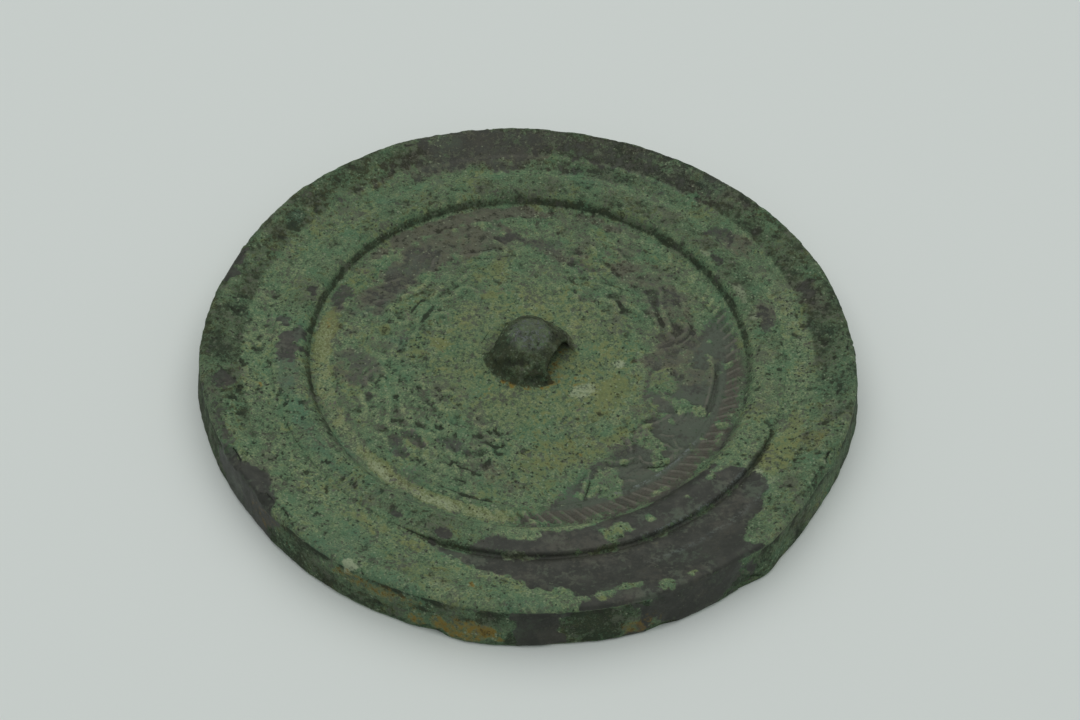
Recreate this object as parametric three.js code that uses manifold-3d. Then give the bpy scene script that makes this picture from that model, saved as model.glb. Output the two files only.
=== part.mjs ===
// A cast bronze mirror lying on its reflecting face, decorated back upward.
// Millimetres, +Z up, origin at the middle of the flat underside.
// The disc, its rings, the worn relief and the pierced knob are one casting, so they are one solid.
import * as THREE from 'three';
import { mergeVertices } from 'three/addons/utils/BufferGeometryUtils.js';
import Module from 'manifold-3d';

const wasm = await Module();
wasm.setup();

// Driving dimensions
const lipRadius = 39.3;          // upper edge of the rim, the measure that every ring is a share of
const footRadius = 40;           // the side flares a little towards the underside
const rimHeight = 5.6;
const fieldHeight = 2.45;        // thin recessed field round the knob
const turns = 120;               // facets round the disc

// Rings of the back, as shares of the lip radius
const rim = { crease: 0.875, grooveOut: 0.808, grooveIn: 0.7925 };
const band = { outer: 0.785, inner: 0.7 };
const wallFoot = 0.672;
const comb = { outer: 0.66, inner: 0.614, count: 105, lean: 38, height: 0.26, halfWidth: 0.42 };
const lineRing = { radius: 0.6, halfWidth: 0.3, height: 0.24 };
const ledgeHeight = 0.16;        // plain border between the comb strokes and the wall

// Heights of the back
const lipRound = 0.4;
const creaseHeight = 4.38;
const rimFootHeight = 3.85;
const bandHeight = 4.1;
const grooveHeight = 3.35;
const footBevel = 0.4;

// The pierced knob for a cord
const knob = { radius: 4.95, footRadius: 5.7, height: 3.9, foot: 0.45, sides: 36, rows: 9 };
const tunnel = { width: 5.7, height: 2.65, direction: -24 };

// Relief of the inner field: four beasts, each a winding body with curls and spurs,
// laid out along the turn (v) and across it (u) as shares of the lip radius
const beasts = [-45, 45, 135, 225];
const relief = { height: 0.34, halfWidth: 0.5 };
const bury = 0.3;                // how far a raised stroke reaches into the metal below

const rad = THREE.MathUtils.degToRad;
const share = (part) => part * lipRadius;

// The relief is crisp in one quarter of the back and worn low elsewhere
const crispAt = -42;
const crispHalf = 55;
const wornShare = 0.42;
function survival(angle) {
  const away = Math.abs(THREE.MathUtils.euclideanModulo(angle - crispAt + 180, 360) - 180);
  return 1 - (1 - wornShare) * THREE.MathUtils.smoothstep(away, crispHalf, crispHalf + 30);
}

// Knocks and swellings that keep the outline from being a true circle: place in degrees,
// half the stretch it covers, and how far the lip and the foot move out there
const outlineMarks = [
  { at: -7, half: 13, lip: 0.2, foot: 0.42 },
  { at: -29, half: 14, lip: -0.3, foot: -0.3 },
  { at: -46, half: 6, lip: 0.35, foot: 0.5 },
  { at: -70, half: 26, lip: 0.1, foot: 0.42 },
  { at: -94, half: 15, lip: 0, foot: 0.62 },
  { at: -142, half: 28, lip: -0.3, foot: -0.4 },
  { at: -171, half: 12, lip: 0.1, foot: 0.2 },
  { at: 163, half: 26, lip: -0.4, foot: -0.4 },
  { at: 72, half: 52, lip: -0.45, foot: -0.45 },
];
function outlineShift(angle, lift) {
  let shift = 0;
  for (const mark of outlineMarks) {
    const away = Math.abs(THREE.MathUtils.euclideanModulo(angle - mark.at + 180, 360) - 180);
    const size = THREE.MathUtils.lerp(mark.foot, mark.lip, lift);
    if (away < mark.half) shift += size * 0.5 * (1 + Math.cos((Math.PI * away) / mark.half));
  }
  return shift;
}

// Pieces broken out of the lip or the foot: place in degrees, length along the edge, depth inwards
const chips = [
  { at: -24, length: 5, depth: 0.7, height: rimHeight },
  { at: -49.5, length: 3.2, depth: 0.9, height: 0.6 },
  { at: -66, length: 4, depth: 0.6, height: 0.3 },
  { at: -102, length: 3.5, depth: 0.8, height: 0.2 },
  { at: -134, length: 6, depth: 0.9, height: rimHeight },
  { at: -147, length: 4, depth: 0.8, height: rimHeight },
  { at: 2, length: 3, depth: 0.7, height: rimHeight },
];

function toSolid(geometry) {
  const bare = geometry.clone();
  bare.deleteAttribute('normal');
  bare.deleteAttribute('uv');
  const merged = mergeVertices(bare, 1e-4);
  const solid = new wasm.Manifold(new wasm.Mesh({
    numProp: 3,
    vertProperties: Float32Array.from(merged.attributes.position.array),
    triVerts: Uint32Array.from(merged.index.array),
  }));
  return solid;
}

function toGeometry(solid) {
  const mesh = solid.getMesh();
  const geometry = new THREE.BufferGeometry();
  geometry.setAttribute('position', new THREE.BufferAttribute(Float32Array.from(mesh.vertProperties), 3));
  geometry.setIndex(Array.from(mesh.triVerts));
  geometry.computeVertexNormals();
  return geometry;
}

// Turned shapes: the profile runs from the axis at the bottom, out and up, to the axis at the top
function turned(profile, sides) {
  const points = profile.map(([radius, height]) => new THREE.Vector2(radius, height));
  return new THREE.LatheGeometry(points, sides).rotateX(Math.PI / 2);
}

function makeDisc() {
  const ledge = fieldHeight + ledgeHeight;
  const line = share(lineRing.radius);
  const profile = [
    [0, 0],
    [footRadius - footBevel, 0],
    [footRadius, footBevel],
    [footRadius - 0.25, rimHeight * 0.3],
    [lipRadius + 0.1, rimHeight - 1.1],
    [lipRadius, rimHeight - lipRound],
    [lipRadius - lipRound, rimHeight],
    [share(0.97), rimHeight - 0.08],
    [share(rim.crease), creaseHeight],
    [share(rim.grooveOut), rimFootHeight],
    [share(rim.grooveIn), grooveHeight],
    [share(band.outer), bandHeight],
    [share(band.inner) + 0.5, bandHeight + 0.02],
    [share(band.inner), bandHeight - 0.15],
    [share(wallFoot), ledge],
    [share(comb.outer), ledge],
    [share(comb.outer) - 0.15, fieldHeight],
    [line + lineRing.halfWidth, fieldHeight],
    [line, fieldHeight + lineRing.height],
    [line - lineRing.halfWidth, fieldHeight],
    [0, fieldHeight],
  ];
  const geometry = turned(profile, turns);
  const position = geometry.attributes.position;
  const inside = share(rim.crease);
  for (let i = 0; i < position.count; i += 1) {
    const x = position.getX(i);
    const y = position.getY(i);
    const radius = Math.hypot(x, y);
    const angle = THREE.MathUtils.radToDeg(Math.atan2(y, x));
    const grip = THREE.MathUtils.smoothstep(radius, inside, lipRadius - lipRound);
    const shift = grip * outlineShift(angle, position.getZ(i) / rimHeight);
    const stretch = grip > 0 ? 1 + shift / radius : 1;
    position.setXY(i, x * stretch, y * stretch);
  }
  return toSolid(geometry);
}

// A raised stroke of triangular section that follows a level path on the field
function stroke(path, height, halfWidth, steps) {
  const section = new THREE.Shape([
    new THREE.Vector2(-height, 0),
    new THREE.Vector2(bury, halfWidth),
    new THREE.Vector2(bury, -halfWidth),
  ]);
  const geometry = new THREE.ExtrudeGeometry(section, { steps, extrudePath: path });
  return toSolid(geometry.translate(0, 0, fieldHeight));
}

function makeComb() {
  const strokes = [];
  const inner = share(comb.inner);
  const outer = share(comb.outer) - 0.1;
  const lead = (Math.tan(rad(comb.lean)) * (outer - inner)) / ((inner + outer) / 2);
  for (let i = 0; i < comb.count; i += 1) {
    const turn = (i / comb.count) * 2 * Math.PI;
    const path = new THREE.LineCurve3(
      new THREE.Vector3(inner * Math.cos(turn), inner * Math.sin(turn), 0),
      new THREE.Vector3(outer * Math.cos(turn + lead), outer * Math.sin(turn + lead), 0),
    );
    const height = comb.height * survival(THREE.MathUtils.radToDeg(turn));
    strokes.push(stroke(path, height, comb.halfWidth, 1));
  }
  return strokes;
}

// Turns a beast's own (v, u) layout into a point on the field
function onField(middle, v, u) {
  const turn = rad(middle) + v / u;
  return new THREE.Vector3(share(u) * Math.cos(turn), share(u) * Math.sin(turn), 0);
}

function curl(middle, v, u, radius, from, sweep) {
  const points = [];
  for (let k = 0; k <= 4; k += 1) {
    const turn = rad(from + (sweep * k) / 4);
    const reach = radius * (1 - 0.12 * k);
    points.push(onField(middle, v + reach * Math.cos(turn), u + reach * Math.sin(turn)));
  }
  return new THREE.CatmullRomCurve3(points);
}

function makeBeast(middle) {
  const body = [[-0.22, 0.46], [-0.13, 0.472], [-0.06, 0.515], [0, 0.475], [0.06, 0.442], [0.15, 0.464]];
  const spurs = [
    [[0.02, 0.4], [0.08, 0.385]],
    [[-0.1, 0.4], [-0.03, 0.38]],
    [[0.1, 0.52], [0.15, 0.545]],
    [[0.19, 0.5], [0.23, 0.53]],
    [[-0.2, 0.54], [-0.14, 0.55]],
  ];
  const height = relief.height * survival(middle);
  const bodyPath = new THREE.CatmullRomCurve3(body.map(([v, u]) => onField(middle, v, u)));
  const paths = spurs.map(([tail, tip]) => new THREE.LineCurve3(
    onField(middle, ...tail),
    onField(middle, ...tip),
  ));
  return [
    stroke(bodyPath, height, relief.halfWidth, 14),
    stroke(curl(middle, 0.2, 0.43, 0.045, 100, -250), height, relief.halfWidth * 0.8, 7),
    stroke(curl(middle, -0.24, 0.49, 0.04, -80, -240), height, relief.halfWidth * 0.8, 7),
    stroke(curl(middle, -0.02, 0.31, 0.05, 20, 210), height * 0.8, relief.halfWidth * 0.8, 7),
    stroke(curl(middle, 0.13, 0.3, 0.045, 200, -210), height * 0.8, relief.halfWidth * 0.8, 7),
    ...paths.map((path) => stroke(path, height * 0.8, relief.halfWidth * 0.7, 1)),
  ];
}

function makeKnob() {
  const profile = [[0, -bury], [knob.footRadius, -bury], [knob.footRadius, 0.05]];
  const start = knob.foot / knob.height;
  for (let k = 0; k <= knob.rows; k += 1) {
    const turn = Math.asin(start) + ((Math.PI / 2 - Math.asin(start)) * k) / knob.rows;
    profile.push([k < knob.rows ? knob.radius * Math.cos(turn) : 0, knob.height * Math.sin(turn)]);
  }
  const dome = turned(profile, knob.sides).translate(0, 0, fieldHeight);

  const half = tunnel.width / 2;
  const mouth = new THREE.Shape();
  mouth.moveTo(-half, -1);
  mouth.lineTo(half, -1);
  mouth.lineTo(half, tunnel.height * 0.35);
  mouth.absellipse(0, tunnel.height * 0.35, half, tunnel.height * 0.65, 0, Math.PI, false);
  const length = knob.footRadius * 2 + 4;
  const bore = new THREE.ExtrudeGeometry(mouth, { depth: length, bevelEnabled: false, curveSegments: 8 })
    .translate(0, 0, -length / 2)
    .rotateX(Math.PI / 2)
    .rotateZ(Math.PI / 2 + rad(tunnel.direction))
    .translate(0, 0, fieldHeight);
  return toSolid(dome).subtract(toSolid(bore));
}

// A chip is a rough flattened lump taken out of the edge
function makeChip({ at, length, depth, height }) {
  const lift = height / rimHeight;
  const lump = new THREE.IcosahedronGeometry(1, 0)
    .scale(depth, length / 2, depth)
    .translate(THREE.MathUtils.lerp(footRadius, lipRadius, lift) + outlineShift(at, lift), 0, height)
    .rotateZ(rad(at));
  return toSolid(lump);
}

const castBronze = new THREE.MeshStandardMaterial({ color: 0x4d5a48, roughness: 0.8, metalness: 0.35 });

let casting = makeDisc();
const raised = [...makeComb(), ...beasts.flatMap(makeBeast), makeKnob()];
for (const piece of raised) casting = casting.add(piece);
for (const chip of chips) casting = casting.subtract(makeChip(chip));

const mirror = new THREE.Mesh(toGeometry(casting), castBronze);
mirror.name = 'bronze_mirror';

const part = new THREE.Group();
part.add(mirror);

export default part;
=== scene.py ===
import math
from types import SimpleNamespace

import bpy
import numpy as np
from mathutils import Matrix, Vector


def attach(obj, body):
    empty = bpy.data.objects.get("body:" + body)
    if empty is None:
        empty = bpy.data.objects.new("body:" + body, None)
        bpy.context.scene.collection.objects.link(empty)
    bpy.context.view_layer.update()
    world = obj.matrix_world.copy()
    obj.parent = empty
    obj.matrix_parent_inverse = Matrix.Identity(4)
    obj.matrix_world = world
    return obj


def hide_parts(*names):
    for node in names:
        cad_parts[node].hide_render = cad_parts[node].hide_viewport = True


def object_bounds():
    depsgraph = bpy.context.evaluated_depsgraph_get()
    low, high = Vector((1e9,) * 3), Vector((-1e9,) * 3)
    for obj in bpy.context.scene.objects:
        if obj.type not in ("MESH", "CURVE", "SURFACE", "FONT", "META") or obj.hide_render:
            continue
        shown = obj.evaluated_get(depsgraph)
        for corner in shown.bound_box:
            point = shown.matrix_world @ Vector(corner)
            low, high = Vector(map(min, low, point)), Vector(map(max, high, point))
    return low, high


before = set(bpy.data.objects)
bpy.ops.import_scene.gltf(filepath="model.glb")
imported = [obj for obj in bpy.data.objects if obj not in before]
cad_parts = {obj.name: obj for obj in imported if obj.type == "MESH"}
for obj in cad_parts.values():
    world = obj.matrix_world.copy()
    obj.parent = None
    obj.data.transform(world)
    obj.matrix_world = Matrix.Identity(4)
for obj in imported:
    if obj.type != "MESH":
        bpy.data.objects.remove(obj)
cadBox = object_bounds()

# Looks of a small cast bronze mirror that lies on its reflecting face, decorated back upward.
# Lengths below are millimetres and angles degrees, anticlockwise from +X. Rings are shares of the lip radius.
mm = 0.001


# small helpers
def smooth(low, high, value):
    t = np.clip((value - low) / (high - low), 0, 1)
    return t * t * (3 - 2 * t)


def lerp(a, b, t):
    return a + (b - a) * t


def angleAway(angle, at):
    return (angle - at + 180) % 360 - 180


# whole numbers that scramble a lattice place into an even grey
placeFactors = (374761393, 668265263, 1274126177, 974634777)
mixSteps = ((13, 1103515245), (15, 668265263))
wordMask = 0xFFFFFFFF
greyMask = 0xFFFFFF


def hashed(ix, iy, iz, seed):
    h = sum(part * factor for part, factor in zip((ix, iy, iz, seed), placeFactors)) & wordMask
    for shift, factor in mixSteps:
        h = ((h ^ (h >> shift)) * factor) & wordMask
    return ((h ^ (h >> 16)) & greyMask) / greyMask


def latticeNoise(points, size, seed):
    place = points / size
    cell = np.floor(place).astype(np.int64)
    part = place - cell
    part = part * part * (3 - 2 * part)
    total = np.zeros(len(points))
    for corner in range(8):
        step = np.array([corner & 1, (corner >> 1) & 1, (corner >> 2) & 1])
        weight = np.prod(np.where(step, part, 1 - part), axis=1)
        where = cell + step
        total += weight * hashed(where[:, 0], where[:, 1], where[:, 2], seed)
    return total


octaveFade = 0.55
octaveSeedStep = 31


def fractal(points, size, seed, octaves):
    # centred on 0.5, with about the same spread for any number of octaves
    total = np.zeros(len(points))
    power = 0.0
    for octave in range(octaves):
        weight = octaveFade ** octave
        total += weight * (latticeNoise(points, size / 2 ** octave, seed + octave * octaveSeedStep) - 0.5)
        power += weight * weight
    return 0.5 + total / math.sqrt(power)


# stage: floor, light and camera
shot = {
    "elevation": 47.63,
    "roll": 3.47,
    "distance": 204.9,
    "aim": (1.36, -2.03, 3.74),
    "lens": 56.67,
    "sensor": 36.0,
    "nearest": 0.005,        # metres
    "farthest": 20.0,
}
stageLook = {
    "floorSize": 3.0,        # metres, as are the lamp's place and size
    "floorColour": (0.785, 0.82, 0.80),
    "floorRoughness": 0.7,
    "floorDrop": 0.04,       # millimetres below the mirror
    "skyColour": (0.86, 0.94, 0.95),
    "skyStrength": 0.33,
    "lampAt": (-0.03, 0.16, 0.90),
    "lampAim": (0.0, 0.02, 0.0),
    "lampSize": 1.7,
    "lampPower": 7.6,
    "lampColour": (1.0, 0.99, 0.96),
}


def aimMatrix(position, target, roll=0.0):
    back = (Vector(position) - Vector(target)).normalized()
    right = Vector((0, 0, 1)).cross(back).normalized()
    up = back.cross(right)
    turn = math.radians(roll)
    tilted = right * math.cos(turn) + up * math.sin(turn)
    raised = back.cross(tilted)
    matrix = Matrix((tilted, raised, back)).transposed().to_4x4()
    matrix.translation = Vector(position)
    return matrix


def makeCamera(look):
    lift = math.radians(look["elevation"])
    aim = Vector(look["aim"]) * mm
    position = aim + Vector((0, -math.cos(lift), math.sin(lift))) * look["distance"] * mm
    data = bpy.data.cameras.new("shotCamera")
    data.sensor_width = look["sensor"]
    data.lens = look["lens"]
    data.clip_start = look["nearest"]
    data.clip_end = look["farthest"]
    camera = bpy.data.objects.new("shotCamera", data)
    bpy.context.scene.collection.objects.link(camera)
    camera.matrix_world = aimMatrix(position, aim, look["roll"])
    bpy.context.scene.camera = camera


def makeStage(look):
    half = look["floorSize"] / 2
    drop = -look["floorDrop"] * mm
    corners = [(-half, -half, drop), (half, -half, drop), (half, half, drop), (-half, half, drop)]
    mesh = bpy.data.meshes.new("paleFloor")
    mesh.from_pydata(corners, [], [(0, 1, 2, 3)])
    floor = bpy.data.objects.new("paleFloor", mesh)
    bpy.context.scene.collection.objects.link(floor)
    paint = bpy.data.materials.new("palePaper")
    paint.use_nodes = True
    shader = paint.node_tree.nodes["Principled BSDF"]
    shader.inputs["Base Color"].default_value = (*look["floorColour"], 1)
    shader.inputs["Roughness"].default_value = look["floorRoughness"]
    mesh.materials.append(paint)

    lampData = bpy.data.lights.new("softBox", "AREA")
    lampData.shape = "SQUARE"
    lampData.size = look["lampSize"]
    lampData.energy = look["lampPower"]
    lampData.color = look["lampColour"]
    lamp = bpy.data.objects.new("softBox", lampData)
    bpy.context.scene.collection.objects.link(lamp)
    lamp.matrix_world = aimMatrix(look["lampAt"], look["lampAim"])

    world = bpy.data.worlds.new("studioAir")
    world.use_nodes = True
    sky = world.node_tree.nodes["Background"]
    sky.inputs["Color"].default_value = (*look["skyColour"], 1)
    sky.inputs["Strength"].default_value = look["skyStrength"]
    bpy.context.scene.world = world
    bpy.context.scene.view_settings.view_transform = "Standard"


makeCamera(shot)
makeStage(stageLook)
print("stage ready")


# the casting
casting = {
    "lipRadius": 39.3,
    "footRadius": 40.0,
    "rimHeight": 5.6,
    "fieldHeight": 2.45,
    "bandHeight": 4.1,
    "grooveHeight": 3.35,
    "rimFootHeight": 3.85,
    "creaseHeight": 4.38,
    "lipFlat": 0.97,             # from here out the rim is nearly level
    "lipFlatDrop": 0.08,
    "lipRound": 0.4,
    "sideTop": (0.1, 1.1),       # outside the lip, and below the rim
    "sideFoot": (0.25, 0.3),     # inside the foot, and its share of the rim height
    "footBevel": 0.4,
    "ledgeHeight": 0.16,
    "ledgeFoot": 0.15,
    "crease": 0.875,
    "grooveOut": 0.808,
    "grooveIn": 0.7925,
    "bandOuter": 0.785,
    "bandInner": 0.7,
    "bandShoulder": 0.15,        # how far the band's inner corner is eased down
    "bandCrown": (0.5, 0.02),    # where past that corner the band stands highest, and how much
    "wallFoot": 0.672,
    "combOuter": 0.66,
    "combInner": 0.614,
    "combCount": 105,
    "combLean": 38.0,
    "combHeight": 0.26,
    "combHalfWidth": 0.42,
    "combEnd": 0.1,              # how far the strokes stop short of the ledge
    "strokeFade": (0.1, 0.18),   # how far past and before its end a stroke fades
    "ringLine": 0.6,
    "ringLineHalf": 0.3,
    "ringLineHeight": 0.24,
    "knobRadius": 4.95,
    "knobHeight": 3.9,
    "knobFoot": 0.95,
    "knobFlare": 5.7,
    "besideKnob": 0.6,           # this far past the flare the field is flat
    "flareCurve": [(-0.55, 0.55), (-0.12, 0.22), (0.45, 0.0)],      # past the flare, above the field
    "domeSteps": 11,
    "perStroke": 8,
    "spacing": 0.37,
    "fieldSpacing": 0.29,
    "undersideSpacing": 2.4,
    "cornerPasses": 2,
    # outside each radius, a ring has this part of the full number of vertices
    "thinning": [(19.5, 1), (8, 2), (2.6, 4), (0, 8)],
    "undersideThinning": [(8, 4), (0, 8)],
}


def share(part):
    return part * casting["lipRadius"]


def profilePoints(c):
    # (radius, height, crisp) from the top of the knob out over the back, down the side and in underneath
    field = c["fieldHeight"]
    ledge = field + c["ledgeHeight"]
    line = share(c["ringLine"])
    lip = c["lipRadius"]
    foot = c["footRadius"]
    rim = c["rimHeight"]
    points = []
    start = math.asin(c["knobFoot"] / c["knobHeight"])
    for k in range(c["domeSteps"] + 1):
        turn = lerp(math.pi / 2, start, k / c["domeSteps"])
        points.append((c["knobRadius"] * math.cos(turn), field + c["knobHeight"] * math.sin(turn), 0))
    points += [(c["knobFlare"] + out, field + up, 0) for out, up in c["flareCurve"]]
    points += [
        (line - c["ringLineHalf"], field, 0),
        (line, field + c["ringLineHeight"], 1),
        (line + c["ringLineHalf"], field, 0),
        (share(c["combOuter"]) - c["ledgeFoot"], field, 1),
        (share(c["combOuter"]), ledge, 1),
        (share(c["wallFoot"]), ledge, 1),
        (share(c["bandInner"]), c["bandHeight"] - c["bandShoulder"], 0),
        (share(c["bandInner"]) + c["bandCrown"][0], c["bandHeight"] + c["bandCrown"][1], 0),
        (share(c["bandOuter"]), c["bandHeight"], 1),
        (share(c["grooveIn"]), c["grooveHeight"], 1),
        (share(c["grooveOut"]), c["rimFootHeight"], 0),
        (share(c["crease"]), c["creaseHeight"], 0),
        (share(c["lipFlat"]), rim - c["lipFlatDrop"], 0),
        (lip - c["lipRound"], rim, 0),
        (lip, rim - c["lipRound"], 0),
        (lip + c["sideTop"][0], rim - c["sideTop"][1], 0),
        (foot - c["sideFoot"][0], rim * c["sideFoot"][1], 0),
        (foot, c["footBevel"], 0),
        (foot - c["footBevel"], 0, 1),
        (0, 0, 1),
    ]
    return points


def profileRings(c):
    points = profilePoints(c)
    rings = [(points[0][0], points[0][1], 1)]
    for (r0, z0, _), (r1, z1, crisp) in zip(points, points[1:]):
        under = z0 == 0 and z1 == 0
        spacing = c["undersideSpacing"] if under else c["spacing"]
        if not under and max(r0, r1) < share(c["ringLine"]):
            spacing = c["fieldSpacing"]
        length = math.hypot(r1 - r0, z1 - z0)
        pieces = max(1, round(length / spacing))
        for k in range(1, pieces + 1):
            t = k / pieces
            rings.append((lerp(r0, r1, t), lerp(z0, z1, t), crisp if k == pieces else 0))
    table = np.array(rings)
    free = table[:, 2] == 0
    free[[0, -1]] = False
    for _ in range(c["cornerPasses"]):       # rounds every corner that is not marked crisp
        middle = (np.roll(table, 1, 0) + 2 * table + np.roll(table, -1, 0)) / 4
        table[free, :2] = middle[free, :2]
    return table[:, :2]


def ringCount(radius, under, c):
    full = c["combCount"] * c["perStroke"]
    thinning = c["undersideThinning"] if under else c["thinning"]
    return full // next(part for beyond, part in thinning if radius > beyond)


def stitch(faces, first, firstCount, second, secondCount):
    # joins two rings of vertices, where one may have a whole multiple of the other's count
    if firstCount == secondCount:
        for i in range(firstCount):
            j = (i + 1) % firstCount
            faces.append((first + i, second + i, second + j, first + j))
        return
    flip = firstCount > secondCount
    few, fewCount, many = (second, secondCount, first) if flip else (first, firstCount, second)
    ratio = max(firstCount, secondCount) // fewCount
    manyCount = fewCount * ratio
    for i in range(fewCount):
        j = (i + 1) % fewCount
        corners = [many + (i * ratio + k) % manyCount for k in range(ratio + 1)]
        half = ratio // 2
        for k in range(ratio):
            tip = few + i if k < half else few + j
            face = (tip, corners[k], corners[k + 1])
            faces.append(face[::-1] if flip else face)
        bridge = (few + i, corners[half], few + j)
        faces.append(bridge[::-1] if flip else bridge)


def turnedBlank(c):
    rings = profileRings(c)
    combIn = share(c["combInner"])
    combOut = share(c["combOuter"])
    lean = math.tan(math.radians(c["combLean"]))
    verts = [(0.0, 0.0, rings[0][1])]
    faces = []
    before = None
    for index in range(1, len(rings) - 1):
        radius, height = rings[index]
        under = height < 1e-6
        count = ringCount(radius, under, c)
        twist = 0.0 if under else lean * math.log(np.clip(radius, combIn, combOut) / combIn)
        start = len(verts)
        turns = np.arange(count) / count * 2 * math.pi + twist
        verts += list(zip(radius * np.cos(turns), radius * np.sin(turns), np.full(count, height)))
        if before is None:
            faces += [(0, start + i, start + (i + 1) % count) for i in range(count)]
        else:
            stitch(faces, before[0], before[1], start, count)
        before = (start, count)
    tip = len(verts)
    verts.append((0.0, 0.0, 0.0))
    start, count = before
    faces += [(start + i, tip, start + (i + 1) % count) for i in range(count)]
    mesh = bpy.data.meshes.new("mirrorCasting")
    mesh.from_pydata([tuple(float(v) * mm for v in vert) for vert in verts], [], faces)
    mesh.validate()
    return mesh


def readPoints(mesh):
    flat = np.zeros(len(mesh.vertices) * 3)
    mesh.vertices.foreach_get("co", flat)
    return flat.reshape(-1, 3) / mm


def writePoints(mesh, points):
    mesh.vertices.foreach_set("co", (points * mm).ravel())
    mesh.update()


def writeField(mesh, name, values):
    if name not in mesh.attributes:
        mesh.attributes.new(name, "FLOAT", "POINT")
    mesh.attributes[name].data.foreach_set("value", np.asarray(values, dtype=np.float32))


# Knocks and swellings of the outline: place, half the stretch, and how far the lip and the foot move out
outlineMarks = [
    (-7, 13, 0.2, 0.42),
    (-29, 14, -0.3, -0.3),
    (-46, 6, 0.35, 0.5),
    (-70, 26, 0.1, 0.42),
    (-94, 15, 0.0, 0.62),
    (-142, 28, -0.3, -0.4),
    (-171, 12, 0.1, 0.2),
    (163, 26, -0.4, -0.4),
    (72, 52, -0.45, -0.45),
]
# Pieces broken out of the lip or the foot: place, length along the edge, depth inwards, height
chips = [
    (-24, 5, 0.7, 5.6),
    (-49.5, 3.2, 0.9, 0.6),
    (-66, 4, 0.6, 0.3),
    (-102, 3.5, 0.8, 0.2),
    (-134, 6, 0.9, 5.6),
    (-147, 4, 0.8, 5.6),
    (2, 3, 0.7, 5.6),
]
chipBite = 0.8       # share of a chip's depth that is taken out
chipReach = 1.3      # how many depths inside the edge it may act
chipWithin = 20      # and how far along the turn


def polar(points):
    radius = np.hypot(points[:, 0], points[:, 1])
    angle = np.degrees(np.arctan2(points[:, 1], points[:, 0]))
    return radius, angle


def shapeOutline(mesh, c):
    points = readPoints(mesh)
    radius, angle = polar(points)
    lift = points[:, 2] / c["rimHeight"]
    grip = smooth(share(c["crease"]), c["lipRadius"] - c["lipRound"], radius)
    shift = np.zeros(len(points))
    for at, half, lip, foot in outlineMarks:
        away = np.abs(angleAway(angle, at))
        bump = np.where(away < half, 0.5 * (1 + np.cos(math.pi * away / half)), 0)
        shift += lerp(foot, lip, lift) * bump
    shift *= grip
    for at, length, depth, height in chips:
        along = np.radians(angleAway(angle, at)) * radius / (length / 2)
        edge = lerp(c["footRadius"], c["lipRadius"], height / c["rimHeight"])
        across = (radius - edge) / depth
        rise = (points[:, 2] - height) / depth
        bite = np.clip(1 - along ** 2 - rise ** 2 - np.minimum(across, 0) ** 2, 0, 1)
        near = (radius > edge - depth * chipReach) & (np.abs(angleAway(angle, at)) < chipWithin)
        shift -= np.where(near, depth * chipBite * np.sqrt(bite), 0)
    scale = 1 + shift / np.maximum(radius, 1)
    points[:, :2] *= scale[:, None]
    writePoints(mesh, points)


# The relief is crisp in one quarter and worn low elsewhere
wear = {
    "crispAt": -42.0,
    "crispHalf": 50.0,
    "fade": 26.0,
    "wornShare": 0.5,
    "wornComb": 0.3,
    "ragged": (0.3, 1.4, 1.15),      # least height kept, how much noise adds, most
    "raggedNoise": (3.2, 3, 3),      # width of a feature, seed, octaves
    "crispFrom": 0.7,
    "crispEven": 0.6,                # how much of the raggedness the crisp quarter is spared
    "fromKnob": 0.3,                 # past the flare, relief begins
    "above": 1.0,                    # and only above this height
}


def survival(angle, wornShare):
    away = np.abs(angleAway(angle, wear["crispAt"]))
    return 1 - (1 - wornShare) * smooth(wear["crispHalf"], wear["crispHalf"] + wear["fade"], away)


# node writing
def plug(tree, socket, value):
    if isinstance(value, Wire):
        tree.links.new(value.socket, socket)
    elif isinstance(value, bpy.types.NodeSocket):
        tree.links.new(value, socket)
    elif socket.type == "RGBA" and len(value) == 3:
        socket.default_value = (*value, 1)
    else:
        socket.default_value = value


class Wire:
    # one socket of a node tree, so that node maths reads as plain arithmetic
    def __init__(self, sheet, socket):
        self.sheet = sheet
        self.socket = socket

    def maths(self, operation, *others, flipped=False):
        values = [self, *others]
        if flipped:
            values.reverse()
        return self.sheet.maths(operation, *values)

    def __add__(self, other):
        return self.maths("ADD", other)

    def __radd__(self, other):
        return self.maths("ADD", other)

    def __sub__(self, other):
        return self.maths("SUBTRACT", other)

    def __rsub__(self, other):
        return self.maths("SUBTRACT", other, flipped=True)

    def __mul__(self, other):
        return self.maths("MULTIPLY", other)

    def __rmul__(self, other):
        return self.maths("MULTIPLY", other)

    def __truediv__(self, other):
        return self.maths("DIVIDE", other)

    def __pow__(self, other):
        return self.maths("POWER", other)


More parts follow.
